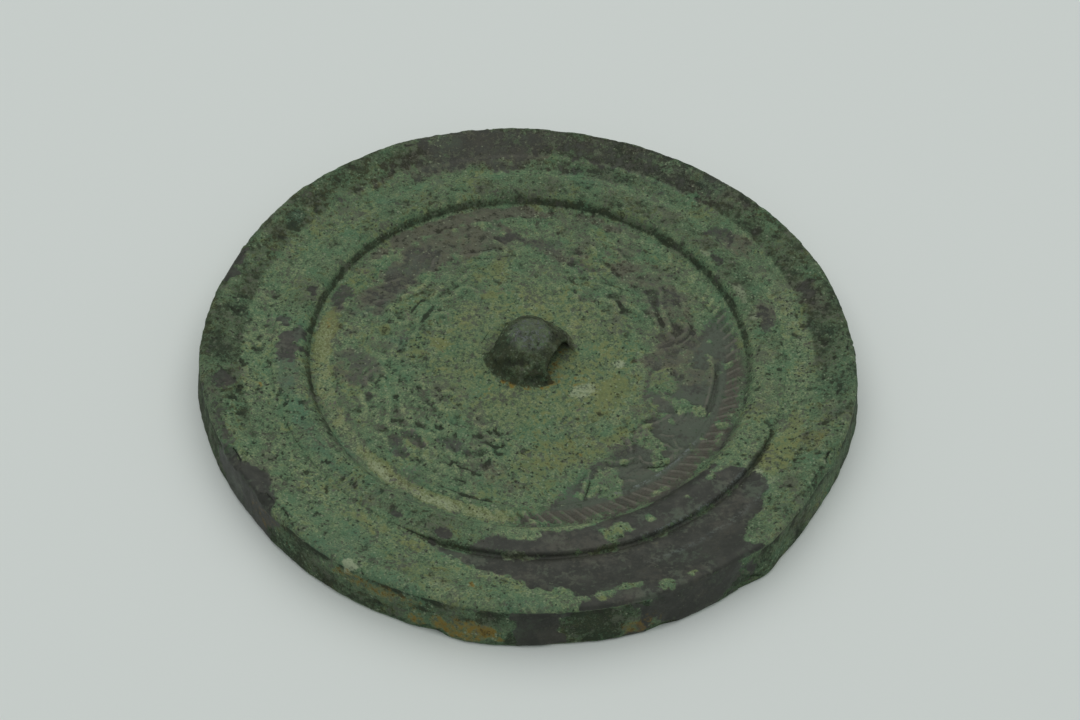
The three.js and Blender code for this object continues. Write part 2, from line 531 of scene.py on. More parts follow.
class Sheet:
    # one node tree being written, for a material or for geometry
    def __init__(self, tree):
        self.tree = tree

    def add(self, kind, settings=None, sockets=None):
        node = self.tree.nodes.new(kind)
        for name, value in (settings or {}).items():
            setattr(node, name, value)
        for name, value in (sockets or {}).items():
            plug(self.tree, node.inputs[name], value)
        return node

    def out(self, node, name=0):
        return Wire(self, node.outputs[name])

    def maths(self, operation, *values):
        return self.out(self.add("ShaderNodeMath", {"operation": operation}, dict(enumerate(values))))

    def step(self, value, low, high, first=0.0, last=1.0):
        # eases from first to last as value goes from low to high
        settings = {"interpolation_type": "SMOOTHSTEP"}
        sockets = {"Value": value, "From Min": low, "From Max": high, "To Min": first, "To Max": last}
        return self.out(self.add("ShaderNodeMapRange", settings, sockets))

    def noise(self, where, size, detail, rough):
        # centred on 0; size is the width of a feature in millimetres
        sockets = {"Vector": where, "Scale": 1 / (size * mm), "Detail": detail, "Roughness": rough}
        return self.out(self.add("ShaderNodeTexNoise", None, sockets)) - 0.5

    def cells(self, where, size):
        # for each grain, one random grey and the distance from its middle
        sockets = {"Vector": where, "Scale": 1 / (size * mm)}
        grains = self.add("ShaderNodeTexVoronoi", {"feature": "F1"}, sockets)
        parts = self.add("ShaderNodeSeparateColor", None, {0: grains.outputs["Color"]})
        return self.out(parts), self.out(grains, "Distance")

    def mix(self, first, second, mask):
        node = self.add("ShaderNodeMix", {"data_type": "RGBA"}, {0: mask, 6: first, 7: second})
        return self.out(node, 2)

    def field(self, name):
        node = self.add("ShaderNodeAttribute", {"attribute_name": name, "attribute_type": "GEOMETRY"})
        return self.out(node, "Fac")


def newGeometryTree(name, inputs):
    tree = bpy.data.node_groups.new(name, "GeometryNodeTree")
    tree.is_modifier = True
    tree.interface.new_socket("Geometry", in_out="INPUT", socket_type="NodeSocketGeometry")
    for label, kind, value in inputs:
        socket = tree.interface.new_socket(label, in_out="INPUT", socket_type=kind)
        if value is not None:
            socket.default_value = value
    tree.interface.new_socket("Geometry", in_out="OUTPUT", socket_type="NodeSocketGeometry")
    sheet = Sheet(tree)
    entry = sheet.add("NodeGroupInput")
    leave = sheet.add("NodeGroupOutput")
    return sheet, entry, leave


def bakeModifier(piece, modifier):
    # swaps the piece's mesh for the plain result of its modifier
    bpy.context.view_layer.update()
    graph = bpy.context.evaluated_depsgraph_get()
    result = bpy.data.meshes.new_from_object(piece.evaluated_get(graph), depsgraph=graph)
    piece.modifiers.remove(modifier)
    old = piece.data
    piece.data = result
    result.name = piece.name
    bpy.data.meshes.remove(old)


def runTree(piece, sheet, values):
    # sets the inputs by identifier, before anything is evaluated
    modifier = piece.modifiers.new(sheet.tree.name, "NODES")
    modifier.node_group = sheet.tree
    for item in sheet.tree.interface.items_tree:
        if item.in_out == "INPUT" and item.name in values:
            modifier[item.identifier] = values[item.name]
    bakeModifier(piece, modifier)


def raiseSkin(sheet, entry, leave, height):
    # ends a tree: lifts the skin by height where relief is kept, then makes it real and dresses it
    named = sheet.add("GeometryNodeInputNamedAttribute", {"data_type": "FLOAT"}, {"Name": "kept"})
    offset = sheet.add("ShaderNodeCombineXYZ", None, {"Z": height * sheet.out(named)})
    moved = sheet.add("GeometryNodeSetPosition", None, {
        "Geometry": entry.outputs["Geometry"],
        "Offset": offset.outputs[0],
    })
    real = sheet.add("GeometryNodeRealizeInstances", None, {0: moved.outputs[0]})
    dressed = sheet.add("GeometryNodeSetMaterial", None, {
        0: real.outputs[0],
        "Material": entry.outputs["Material"],
    })
    sheet.tree.links.new(dressed.outputs[0], leave.inputs[0])


def makeCombTree():
    # raises slanted strokes in the comb band of any disc that lies on the origin
    sheet, entry, leave = newGeometryTree("combStrokes", [
        ("Stroke Count", "NodeSocketFloat", 100.0),
        ("Inner Radius", "NodeSocketFloat", 24.0 * mm),
        ("Outer Radius", "NodeSocketFloat", 26.0 * mm),
        ("End Before", "NodeSocketFloat", 0.1 * mm),
        ("End After", "NodeSocketFloat", 0.2 * mm),
        ("Lean", "NodeSocketFloat", 0.66),
        ("Height", "NodeSocketFloat", 0.25 * mm),
        ("Half Width", "NodeSocketFloat", 0.4 * mm),
        ("Material", "NodeSocketMaterial", None),
    ])

    def given(name):
        return Wire(sheet, entry.outputs[name])

    place = sheet.out(sheet.add("GeometryNodeInputPosition"))
    parts = sheet.add("ShaderNodeSeparateXYZ", None, {0: place})
    x = sheet.out(parts, 0)
    y = sheet.out(parts, 1)
    radius = (x * x + y * y) ** 0.5
    angle = sheet.maths("ARCTAN2", y, x)
    slope = sheet.maths("TANGENT", given("Lean"))
    spin = angle - slope * sheet.maths("LOGARITHM", radius / given("Inner Radius"), math.e)
    pitch = sheet.maths("DIVIDE", 2 * math.pi, given("Stroke Count"))
    along = sheet.maths("PINGPONG", spin, pitch * 0.5)      # 0 on a stroke's middle line
    across = along * radius * sheet.maths("COSINE", given("Lean"))
    ridge = sheet.step(across / given("Half Width"), 1.0, 0.0)
    before = 0.0 - given("End Before")
    inner = sheet.step(radius - given("Inner Radius"), before, given("End After"))
    outer = sheet.step(given("Outer Radius") - radius, before, given("End After"))
    raiseSkin(sheet, entry, leave, ridge * inner * outer * given("Height"))
    return sheet


def makeReliefTree():
    # raises the skin of a piece beside the edges of a wire drawing that lies on it
    sheet, entry, leave = newGeometryTree("reliefStrokes", [
        ("Drawing", "NodeSocketObject", None),
        ("Height", "NodeSocketFloat", 0.3 * mm),
        ("Half Width", "NodeSocketFloat", 0.5 * mm),
        ("Material", "NodeSocketMaterial", None),
    ])
    drawing = sheet.add("GeometryNodeObjectInfo", None, {"Object": entry.outputs["Drawing"]})
    near = sheet.add("GeometryNodeProximity", {"target_element": "EDGES"}, {0: drawing.outputs["Geometry"]})
    gap = sheet.out(near, "Distance") / Wire(sheet, entry.outputs["Half Width"])
    raiseSkin(sheet, entry, leave, sheet.step(gap, 1.0, 0.0) * Wire(sheet, entry.outputs["Height"]))
    return sheet


# relief drawing
# Each beast is laid out along the turn (v) and across it (u), as shares of the lip radius
beast = {
    "middles": [45, 135, 225],      # the fourth quarter keeps the crisp strokes below
    "body": [(-0.22, 0.46), (-0.13, 0.472), (-0.06, 0.515), (0, 0.475), (0.06, 0.442), (0.15, 0.464)],
    "bodySteps": 8,
    "spurs": [
        [(0.02, 0.4), (0.08, 0.385)],
        [(-0.1, 0.4), (-0.03, 0.38)],
        [(0.1, 0.52), (0.15, 0.545)],
        [(0.19, 0.5), (0.23, 0.53)],
        [(-0.2, 0.54), (-0.14, 0.55)],
    ],
    "curls": [       # middle v and u, radius, first angle, sweep
        (0.2, 0.43, 0.045, 100, -250),
        (-0.24, 0.49, 0.04, -80, -240),
        (-0.02, 0.31, 0.05, 20, 210),
        (0.13, 0.3, 0.045, 200, -210),
    ],
    "curlSteps": 12,
    "curlShrink": 0.04,             # of the curl's radius at each step
    "height": 0.34,
    "halfWidth": 0.5,
}
# Thin lines beside each body: (v, u) paths, finer and lower than the body
hatching = {
    "lines": [
        [(-0.2, 0.425), (-0.12, 0.435), (-0.05, 0.46)],
        [(0.03, 0.5), (0.09, 0.482), (0.16, 0.5)],
        [(0.05, 0.53), (0.0, 0.55), (-0.06, 0.56)],
        [(-0.12, 0.52), (-0.08, 0.545)],
        [(0.06, 0.36), (0.02, 0.345), (-0.05, 0.35)],
        [(0.17, 0.38), (0.21, 0.36), (0.25, 0.37)],
        [(-0.19, 0.36), (-0.15, 0.345), (-0.1, 0.355)],
        [(0.24, 0.42), (0.27, 0.45), (0.29, 0.5)],
        [(-0.28, 0.43), (-0.3, 0.47), (-0.29, 0.52)],
        [(0.08, 0.56), (0.13, 0.572), (0.2, 0.568)],
    ],
    "height": 0.17,
    "halfWidth": 0.3,
}

# Strokes that survive, most of them in the two front quarters, as points (x, y) in shares of the lip radius
ridges = {
    "lines": [
        [(0.44, -0.215), (0.405, -0.243), (0.37, -0.262), (0.345, -0.282), (0.333, -0.305), (0.33, -0.33)],
        [(0.35, -0.237), (0.37, -0.228), (0.39, -0.21)],
        [(0.255, -0.408), (0.28, -0.41), (0.305, -0.403), (0.333, -0.388)],
        [(0.345, -0.383), (0.355, -0.403), (0.385, -0.409), (0.415, -0.4), (0.44, -0.38), (0.465, -0.345)],
        [(0.36, -0.285), (0.35, -0.3), (0.34, -0.315)],
        [(0.31, -0.3), (0.312, -0.33), (0.32, -0.36)],
        [(0.2, -0.45), (0.19, -0.49), (0.18, -0.53), (0.175, -0.55)],
        [(0.21, -0.515), (0.235, -0.51), (0.252, -0.515)],
        [(0.378, -0.362), (0.386, -0.362)],
        [(0.41, -0.295), (0.428, -0.3), (0.445, -0.297)],
        [(0.365, -0.278), (0.362, -0.302)],
        [(0.395, -0.33), (0.42, -0.334), (0.44, -0.345)],
        [(0.44, -0.353), (0.458, -0.35), (0.472, -0.343)],
        [(0.447, -0.313), (0.452, -0.325), (0.456, -0.337)],
        [(0.3, -0.482), (0.315, -0.476), (0.333, -0.476)],
        [(0.57, 0.0), (0.567, -0.05), (0.56, -0.1), (0.547, -0.16), (0.535, -0.2)],
        [(-0.4, -0.405), (-0.37, -0.433), (-0.345, -0.46), (-0.32, -0.485), (-0.303, -0.492)],
        [(-0.246, -0.272), (-0.236, -0.293), (-0.224, -0.308)],
        [(-0.275, -0.318), (-0.262, -0.33), (-0.25, -0.342)],
        [(-0.3, -0.36), (-0.29, -0.378), (-0.278, -0.4), (-0.268, -0.406)],
        [(-0.235, -0.388), (-0.22, -0.41)],
        [(-0.31, -0.33), (-0.304, -0.347)],
    ],
    "height": 0.25,
    "halfWidth": 0.36,
}
# Lines cut into the skin, laid out the same way
grooves = {
    "lines": [
        [(0.25, -0.42), (0.275, -0.422), (0.305, -0.417), (0.335, -0.4)],
        [(0.36, -0.42), (0.395, -0.42), (0.425, -0.407), (0.452, -0.382)],
        [(0.579, 0.0), (0.578, -0.05), (0.571, -0.11), (0.559, -0.17), (0.546, -0.21)],
        [(0.2, -0.49), (0.192, -0.53), (0.186, -0.553)],
        [(-0.128, -0.352), (-0.101, -0.372), (-0.08, -0.381), (-0.062, -0.379), (-0.05, -0.357),
         (-0.04, -0.347)],
        [(-0.13, -0.305), (-0.115, -0.315), (-0.1, -0.327)],
        [(-0.09, -0.315), (-0.075, -0.332)],
        [(-0.32, -0.24), (-0.303, -0.253)],
        [(-0.322, -0.305), (-0.298, -0.318)],
        [(-0.315, -0.36), (-0.305, -0.38), (-0.299, -0.397)],
        [(-0.21, -0.385), (-0.2, -0.402)],
        [(-0.251, -0.308), (-0.243, -0.322)],
        [(-0.24, -0.45), (-0.19, -0.46), (-0.16, -0.47), (-0.12, -0.49)],
        [(-0.25, -0.535), (-0.19, -0.554), (-0.15, -0.57), (-0.11, -0.58), (-0.08, -0.585)],
        [(-0.18, -0.508), (-0.16, -0.52)],
        [(-0.32, -0.497), (-0.295, -0.503)],
        [(-0.351, 0.203), (-0.375, 0.165), (-0.385, 0.125)],
        [(-0.312, 0.18), (-0.329, 0.146), (-0.342, 0.111)],
    ],
    "height": -0.24,
    "halfWidth": 0.32,
}
# A row of short parallel strokes in the crisp quarter, like combed hair
hair = {
    "from": (0.452, -0.235),
    "step": (0.0145, 0.002),
    "stroke": (0.017, 0.055),
    "count": 5,
    "height": 0.14,
    "halfWidth": 0.24,
}
lineSteps = 5        # pieces between two points of a drawn line


def linePaths(look):
    level = casting["fieldHeight"]
    return [[(share(x), share(y), level) for x, y in splined(line, lineSteps)] for line in look["lines"]]


def hairPaths():
    level = casting["fieldHeight"]
    paths = []
    for k in range(hair["count"]):
        x = hair["from"][0] + k * hair["step"][0]
        y = hair["from"][1] + k * hair["step"][1]
        ends = [(x, y), (x + hair["stroke"][0], y + hair["stroke"][1])]
        paths.append([(share(u), share(v), level) for u, v in ends])
    return paths


def onField(middle, v, u, height):
    turn = math.radians(middle) + v / u
    return (share(u) * math.cos(turn), share(u) * math.sin(turn), height)


def splined(points, steps):
    # a smooth curve through the points
    held = np.array([points[0], *points, points[-1]])
    curve = []
    for p, q, r, s in zip(held, held[1:], held[2:], held[3:]):
        for k in range(steps):
            t = k / steps
            bend = (2 * p - 5 * q + 4 * r - s) * t * t
            twist = (3 * q - p - 3 * r + s) * t ** 3
            curve.append(tuple((0.5 * (2 * q + (r - p) * t + bend + twist)).tolist()))
    curve.append(points[-1])
    return curve


def curlPoints(v, u, radius, first, sweep):
    points = []
    for k in range(beast["curlSteps"] + 1):
        turn = math.radians(first + sweep * k / beast["curlSteps"])
        reach = radius * (1 - beast["curlShrink"] * k)
        points.append((v + reach * math.cos(turn), u + reach * math.sin(turn)))
    return points


def wireDrawing(name, paths):
    verts = []
    edges = []
    for path in paths:
        start = len(verts)
        verts += path
        edges += [(start + i, start + i + 1) for i in range(len(path) - 1)]
    mesh = bpy.data.meshes.new(name)
    mesh.from_pydata([tuple(v * mm for v in vert) for vert in verts], edges, [])
    drawing = bpy.data.objects.new(name, mesh)
    bpy.context.scene.collection.objects.link(drawing)
    return drawing


def beastPaths():
    level = casting["fieldHeight"]
    body = splined(beast["body"], beast["bodySteps"])
    shapes = [body, *[curlPoints(*curl) for curl in beast["curls"]], *beast["spurs"]]
    return [
        [onField(middle, v, u, level) for v, u in shape]
        for middle in beast["middles"]
        for shape in shapes
    ]


def hatchPaths():
    level = casting["fieldHeight"]
    return [
        [onField(middle, v, u, level) for v, u in splined(line, lineSteps)]
        for middle in beast["middles"]
        for line in hatching["lines"]
    ]


# cord tunnel
tunnel = {
    "width": 5.7,
    "height": 2.65,
    "direction": -24.0,
    "straightShare": 0.35,       # of the height, below the arch
    "floorLift": 0.06,
    "overrun": 0.25,             # past the knob's flare
    "steps": 22,
    "stations": 16,
}


def tunnelCutter(t, c):
    half = t["width"] / 2
    straight = t["height"] * t["straightShare"]
    arch = [(-half, 0.0), (half, 0.0)]
    for k in range(t["steps"] + 1):
        turn = math.pi * k / t["steps"]
        arch.append((half * math.cos(turn), straight + (t["height"] - straight) * math.sin(turn)))
    reach = c["knobFlare"] + t["overrun"]
    base = c["fieldHeight"] + t["floorLift"]
    stations = t["stations"]
    heading = math.radians(t["direction"])
    verts = []
    for k in range(stations + 1):
        along = lerp(-reach, reach, k / stations)
        for side, rise in arch:
            verts.append((
                along * math.cos(heading) - side * math.sin(heading),
                along * math.sin(heading) + side * math.cos(heading),
                base + rise,
            ))
    size = len(arch)
    faces = [tuple(range(size))[::-1], tuple(range(stations * size, (stations + 1) * size))]
    for k in range(stations):
        for i in range(size):
            j = (i + 1) % size
            faces.append((k * size + i, k * size + j, (k + 1) * size + j, (k + 1) * size + i))
    mesh = bpy.data.meshes.new("tunnelCutter")
    mesh.from_pydata([tuple(v * mm for v in vert) for vert in verts], [], faces)
    cutter = bpy.data.objects.new("tunnelCutter", mesh)
    bpy.context.scene.collection.objects.link(cutter)
    return cutter


def cutTunnel(piece, cutter):
    modifier = piece.modifiers.new("tunnel", "BOOLEAN")
    modifier.operation = "DIFFERENCE"
    modifier.solver = "EXACT"
    modifier.object = cutter
    bakeModifier(piece, modifier)


# patina
# Stretches where the crust is gone and smooth dark bronze shows, as (angle, inner share, outer share)
bareStretches = {
    "rim": [
        (-108, 0.797, 0.80), (-100, 0.797, 0.85), (-92, 0.797, 0.87), (-84, 0.797, 0.93),
        (-80, 0.797, 0.955), (-64, 0.797, 0.95), (-48, 0.797, 0.95), (-40, 0.797, 0.905),
        (-36, 0.797, 0.87), (-32, 0.797, 0.80),
    ],
    "lip": [
        (-80, 1.0, 1.0), (-72, 0.95, 1.03), (-52, 0.94, 1.03), (-47, 0.985, 1.03), (-44, 1.03, 1.03),
    ],
    "leftLip": [
        (-153, 1.0, 1.03), (-146, 0.96, 1.03), (-141, 0.935, 1.03), (-136, 0.95, 1.03),
        (-130, 1.0, 1.03),
    ],
    "band": [
        (-100, 0.785, 0.79), (-96, 0.745, 0.79), (-88, 0.715, 0.79), (-70, 0.69, 0.79),
        (-45, 0.69, 0.79), (-37, 0.705, 0.79), (-34, 0.78, 0.79),
    ],
    "field": [
        (-92, 0.66, 0.66), (-85, 0.61, 0.67), (-76, 0.54, 0.67), (-67, 0.50, 0.67), (-58, 0.47, 0.67),
        (-45, 0.44, 0.67), (-30, 0.44, 0.67), (-20, 0.375, 0.67), (0, 0.37, 0.67), (5, 0.45, 0.66),
        (12, 0.53, 0.66), (22, 0.645, 0.66),
    ],
}
# Spots: (angle, half angle, share of the lip radius, half share, strength)
spots = {
    "bare": [
        (-166, 2, 0.925, 0.028, 0.8), (-176, 4.5, 0.74, 0.032, 0.9), (-116, 1.6, 0.76, 0.014, 0.9),
        (-110, 1.3, 0.76, 0.012, 0.9), (-106, 1.6, 0.762, 0.014, 0.9), (-165, 16, 0.53, 0.035, 0.5),
        (-132, 5, 0.54, 0.02, 0.6), (-130, 5, 0.49, 0.022, 0.6), (-118, 8, 0.44, 0.02, 0.55),
        (19, 3, 0.93, 0.035, 0.6), (75, 18, 0.92, 0.075, 0.5), (104, 15, 0.91, 0.085, 0.6),
        (43, 4, 0.83, 0.04, 0.6), (36, 2, 0.73, 0.012, 0.7), (16, 4, 0.76, 0.02, 0.6),
        (10, 9, 0.44, 0.065, 0.55), (35, 8, 0.5, 0.05, 0.5), (66, 8, 0.43, 0.03, 0.5),
        (86, 8, 0.49, 0.03, 0.5), (58, 7, 0.3, 0.03, 0.45), (140, 16, 0.525, 0.055, 0.6),
        (100, 6, 0.525, 0.03, 0.65), (163, 6, 0.64, 0.03, 0.7), (177, 3, 0.78, 0.03, 0.8),
        (165, 2.5, 0.72, 0.02, 0.7), (164, 5, 0.985, 0.02, 0.8), (117, 5, 0.97, 0.02, 0.7),
        (-158, 9, 0.98, 0.025, 0.5), (-10, 9, 0.55, 0.1, 0.5),
    ],
    "crust": [      # islands of crust left on the bare metal
        (-82, 1.6, 0.945, 0.03, 1), (-65, 1.5, 0.975, 0.018, 1), (-60, 1.0, 0.972, 0.018, 1),
        (-76, 1.5, 0.977, 0.014, 1), (-87, 2.2, 0.732, 0.014, 1), (-68, 3.4, 0.742, 0.022, 1),
        (-60, 1.0, 0.742, 0.016, 1), (-49, 1.2, 0.733, 0.012, 1), (-38, 6, 0.725, 0.018, 1),
        (-66, 2.2, 0.425, 0.016, 1), (-50, 5, 0.43, 0.02, 0.8), (-63, 1.6, 0.52, 0.02, 0.9),
        (-36, 1.6, 0.455, 0.015, 0.8), (-54, 1.5, 0.505, 0.014, 0.7), (-28, 1.6, 0.5, 0.014, 0.6),
    ],
    "teal": [
        (-153, 22, 0.745, 0.035, 0.9), (-130, 12, 0.93, 0.05, 0.55), (-45, 10, 0.965, 0.02, 0.6),
        (-30, 14, 0.71, 0.02, 0.5), (54, 5, 0.945, 0.03, 0.9), (-176, 6, 0.93, 0.04, 0.6),
        (-120, 22, 0.42, 0.05, 0.5), (148, 3, 0.925, 0.025, 1), (-172, 14, 0.5, 0.08, 0.4),
        (-22, 5, 0.955, 0.02, 0.6), (-6, 10, 0.93, 0.05, 0.4), (-112, 5, 0.925, 0.03, 0.6),
        (-40, 8, 0.72, 0.02, 0.8), (-100, 16, 0.71, 0.02, 0.4), (30, 14, 0.93, 0.04, 0.4),
    ],
    "grey": [       # broad greyish brown stains
        (130, 38, 0.53, 0.08, 0.8), (40, 30, 0.5, 0.08, 0.6), (5, 14, 0.46, 0.1, 0.75),
        (80, 14, 0.47, 0.06, 0.5), (-170, 14, 0.53, 0.06, 0.6), (-5, 12, 0.52, 0.12, 0.6),
        (104, 22, 0.91, 0.1, 0.8), (70, 25, 0.93, 0.08, 0.7), (17, 6, 0.93, 0.05, 0.7),
        (16, 5, 0.76, 0.03, 0.7), (115, 35, 0.64, 0.03, 0.9), (70, 14, 0.64, 0.03, 0.7),
        (38, 8, 0.83, 0.04, 0.6), (-165, 6, 0.74, 0.04, 0.5), (-100, 12, 0.5, 0.05, 0.35),
        (165, 7, 0.64, 0.03, 0.7), (-116, 8, 0.76, 0.025, 0.4), (88, 25, 0.83, 0.03, 0.4),
    ],
    "pale": [
        (-117, 1.1, 0.99, 0.010, 1.0), (-174, 1.4, 0.765, 0.009, 0.8), (-147, 0.9, 0.695, 0.009, 0.8),
        (22, 5, 0.72, 0.018, 0.75), (15, 1.5, 0.72, 0.014, 0.8), (40, 2, 0.716, 0.014, 0.7),
        (-38, 12, 0.225, 0.025, 0.55), (-5, 4, 0.28, 0.02, 0.7), (80, 5, 0.91, 0.02, 0.5),
        (14, 16, 0.84, 0.025, 0.2), (-115, 20, 0.645, 0.018, 0.3), (53, 4, 0.64, 0.018, 0.3),
        (-22, 2, 0.93, 0.012, 0.6), (-12, 1.6, 0.94, 0.012, 0.5), (-34, 1.6, 0.83, 0.03, 0.6),
    ],
    "olive": [
        (-115, 22, 0.64, 0.03, 0.75), (175, 10, 0.64, 0.03, 0.9), (-72, 20, 0.42, 0.05, 0.6),
        (-50, 6, 0.42, 0.025, 0.8), (-76, 1.6, 0.977, 0.015, 1.0), (-115, 10, 0.83, 0.03, 0.45),
        (-26, 12, 0.84, 0.05, 0.5), (-30, 20, 0.3, 0.06, 0.5), (120, 6, 0.28, 0.025, 0.7),
        (175, 5, 0.28, 0.03, 0.6), (172, 3, 0.46, 0.02, 0.8), (-150, 8, 0.96, 0.02, 0.5),
        (-105, 4, 0.915, 0.04, 0.5), (135, 26, 0.92, 0.05, 0.4), (8, 4, 0.65, 0.02, 0.7),
        (155, 5, 0.64, 0.025, 0.6), (-22, 3, 0.93, 0.025, 0.7),
    ],
    "ochre": [
        (-164, 0.9, 0.83, 0.008, 0.8), (-66, 1.0, 0.425, 0.012, 0.6), (-97, 0.7, 0.93, 0.010, 0.7),
        (173, 2.5, 0.64, 0.012, 0.5), (142, 1.2, 0.8, 0.010, 0.4), (-20, 1.5, 0.93, 0.012, 0.5),
        (-12, 1.0, 0.79, 0.02, 0.3), (-30, 12, 0.195, 0.03, 0.4), (-130, 40, 0.21, 0.03, 0.3),
    ],
    # dark spots; those at share 0.69 lie along the foot of the wall and are painted shade with some dirt
    "dark": [
        (-160, 9, 0.975, 0.02, 0.7), (-166, 2.5, 0.91, 0.03, 0.5), (-141, 3, 0.94, 0.02, 0.8),
        (-69, 1.0, 0.41, 0.01, 0.7), (-59, 1.4, 0.29, 0.01, 0.6), (-70, 1.6, 0.22, 0.012, 0.5),
        (-22, 4, 0.91, 0.025, 0.5), (90, 45, 0.94, 0.07, 0.45), (-44, 8, 0.975, 0.015, 0.4),
        (66, 24, 0.69, 0.02, 0.6), (104, 18, 0.69, 0.02, 0.6), (-148, 12, 0.692, 0.008, 0.7),
        (-174, 8, 0.692, 0.01, 0.8),
    ],
    "pitted": [
        (-10, 30, 0.75, 0.07, 0.6), (-130, 60, 0.4, 0.14, 0.6),
    ],
}
spotEdge = (1.25, 0.65)       # a spot fades between these shares of its size
narrowest = 0.004             # a bare stretch thinner than this is none


def stretchMask(skin, outline, edge, soft):
    at = [row[0] for row in outline]
    inner = np.interp(skin.angle, at, [row[1] for row in outline])
    outer = np.interp(skin.angle, at, [row[2] for row in outline])
    gap = np.minimum(skin.radius - inner, outer - skin.radius) + edge
    inside = (skin.angle > at[0]) & (skin.angle < at[-1]) & (outer > inner + narrowest)
    return np.where(inside, smooth(-soft, soft, gap), 0)


def spotMask(skin, table, edge):
    mask = np.zeros(len(skin.angle))
    for at, half, middle, width, strength in table:
        far = np.hypot(angleAway(skin.angle, at) / half, (skin.radius - middle) / width) + edge
        mask = np.maximum(mask, strength * smooth(*spotEdge, far))
    return mask


def softBand(value, rise, fall):
    # fades in over the first pair and out over the second
    return smooth(*rise, value) * smooth(*fall, value)


def roundTurn(skin, at, none, full):
    # 1 near one place of the turn and 0 further away than none
    return smooth(none, full, np.abs(angleAway(skin.angle, at)))


# Earth caught on the side: angle, half angle, height, half height, amount. Then where the side is bare
sideEarth = [
    (-99, 8, 1.7, 1.5, 0.8),
    (-70, 4, 1.6, 1.2, 0.6),
    (-115, 9, 3.6, 1.3, 0.6),
    (-135, 8, 3.0, 1.6, 0.4),
    (-28, 7, 2.0, 1.6, 0.4),
    (160, 9, 2.4, 1.8, 0.4),
    (70, 10, 2.2, 1.6, 0.4),
]
sideBare = [(-60, 8), (-85, 4), (-142, 7), (20, 6), (110, 8)]
# How much dirt and painted shade each ring holds round the turn: inner and outer share, then (angle, amount)
grimeAndShade = {
    "outerRim": (0.875, 1.05, [
        (-180, 0.87), (-160, 0.85), (-148, 0.3), (-120, 0.42), (-90, 0.4), (-45, 0.6), (-15, 0.6),
        (10, 0.9), (45, 0.85), (75, 1.0), (105, 0.88), (135, 0.8), (180, 0.87),
    ]),
    "innerRim": (0.81, 0.875, [
        (-180, 0.3), (-110, 0.2), (-75, 0), (-45, 0), (-15, 0.15), (15, 0.5), (45, 0.55), (75, 0.85),
        (105, 0.75), (135, 0.52), (180, 0.35),
    ]),
    "band": (0.7, 0.785, [
        (-180, 0.2), (-160, 0.18), (-125, 0.6), (-105, 0.72), (-90, 0.4), (-30, 0.35), (0, 0.6),
        (15, 0.72), (45, 0.72), (75, 0.72), (105, 0.66), (150, 0.58), (170, 0.6), (180, 0.2),
    ]),
    "comb": (0.605, 0.665, [
        (-180, 0.25), (-95, 0.22), (-80, 0.25), (-30, 0.16), (0, 0.16), (50, 0.25), (75, 0.75),
        (105, 0.6), (135, 0.6), (155, 0.25), (180, 0.25),
    ]),
    "field": (0.3, 0.605, [
        (-180, 0.32), (-120, 0.33), (-75, 0.36), (-15, 0.36), (45, 0.5), (75, 0.45), (105, 0.42),
        (135, 0.42), (165, 0.5), (180, 0.35),
    ]),
    "middle": (-1, 0.3, [
        (-180, 0.12), (180, 0.12),
    ]),
}
grimeAndShadeEdge = 0.012
# Noise on the skin: width of a feature, seed, octaves
blotches = {
    "wobble": (4.0, 5, 4),
    "coarse": (9.0, 11, 3),
    "medium": (2.6, 17, 4),
    "fine": (0.9, 23, 3),
    "teal": (6.0, 41, 3),
    "pits": (0.8, 61, 2),
    "side": (1.6, 71, 4),
    "underside": (1.4, 83, 3),
    "knob": (1.1, 97, 3),
}
wobbleSpan = 0.5
crumbMix = (0.55, 0.45)       # of medium and fine noise
tornMix = (2.2, 2.6)          # of wobble and crumb, for the edge of a spot
# Soft edges, from where a thing starts to where it is full
edges = {
    "underside": (0.35, 0.05),            # height
    "sideFacing": (0.55, 0.25),           # how far the skin faces up
    "sideRadius": (0.95, 0.975),          # shares of the lip radius, as below
    "insideComb": (0.67, 0.655),
    "clearOfKnob": (0.2, 0.3),
    "middle": (0.4, 0.26),
}
# Rings of the back, each fading in over the first pair of radii and out over the second
zones = {
    "innerRim": ((0.79, 0.80), (0.885, 0.865)),
    "comb": ((0.608, 0.616), (0.672, 0.664)),
    "wall": ((0.668, 0.676), (0.698, 0.686)),
    "groove": ((0.781, 0.787), (0.812, 0.798)),
}
# The comb is brown over these stretches of the turn: fades in, fades out, amount
brownComb = [((-96, -84), (8, 0), 1.0), ((92, 100), (152, 145), 0.6), ((56, 60), (80, 75), 0.5)]
knobSkin = {
    "edge": (6.1, 5.5),            # radius
    "above": (2.5, 2.75),          # height
    "crown": (5.5, 6.1),
    # painted shade over the front of the knob, the side that faces the camera: where its middle is, half
    # sizes, edge and wobble
    "frontShadeAt": (0.2, 1.7),          # across, and above the field
    "frontShadeHalf": (2.6, 1.5),
    "frontShadeEdge": (1.3, 0.6),
    "frontShadeWobble": 0.8,
    # the whole knob is darkened, its crown less so
    "dirtAndShade": 1.12,
    "frontShadeAmount": 1.6,
    "crownLessDark": 0.3,
    "crownBare": 0.4,
    "frontBare": 0.35,
    "crumbBare": 0.7,
    # painted highlight on the top of the knob
    "crownHighlight": 0.5,
    "footRadius": 5.7,
    "footEdge": (0.6, 0.1),
    "footTurn": (-78, 70, 30),     # middle, where it starts, where it is full
    "footEarth": 0.9,
    "rough": 0.45,
}
tunnelSkin = {
    "inside": (0.985, 0.95),       # share of the way out to the dome's surface
    "within": 5.2,
    "floor": (3.0, 2.75),          # height
    "mouth": (2.4, 4.6),           # radius
    # painted shade inside the tunnel, less of it on the floor near the mouth
    "dirtAndShade": 1.4,
    "mouthFloorLessShade": 0.75,
    "earth": 0.55,
}
